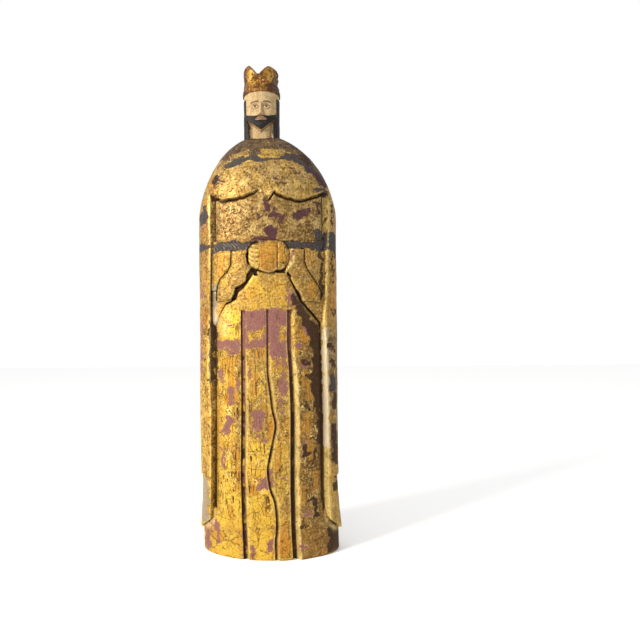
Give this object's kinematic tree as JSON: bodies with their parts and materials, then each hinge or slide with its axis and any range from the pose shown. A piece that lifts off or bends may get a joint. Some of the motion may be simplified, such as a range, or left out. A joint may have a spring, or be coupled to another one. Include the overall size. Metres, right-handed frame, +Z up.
{
  "type": "carved wooden statue",
  "caption": "Carved and gilded wooden figure of a crowned, bearded king in a long cloak, hands joined round a small box; stands on its flat foot.",
  "frame": {"origin": "middle of the figure's whole width and depth, on the flat underside it stands on", "axes": "+Z up through the crown, +X to the right as seen from the front, which faces -Y"},
  "size_m": [0.146, 0.0797, 0.4979],
  "materials": {
    "gilt_wood": "worn gold leaf over dark red ground, with painted face, hair and patches of blue-grey; aged and chipped"
  },
  "bodies": {
    "root": {"king_statue": "gilt_wood"}
  },
  "joints": []
}
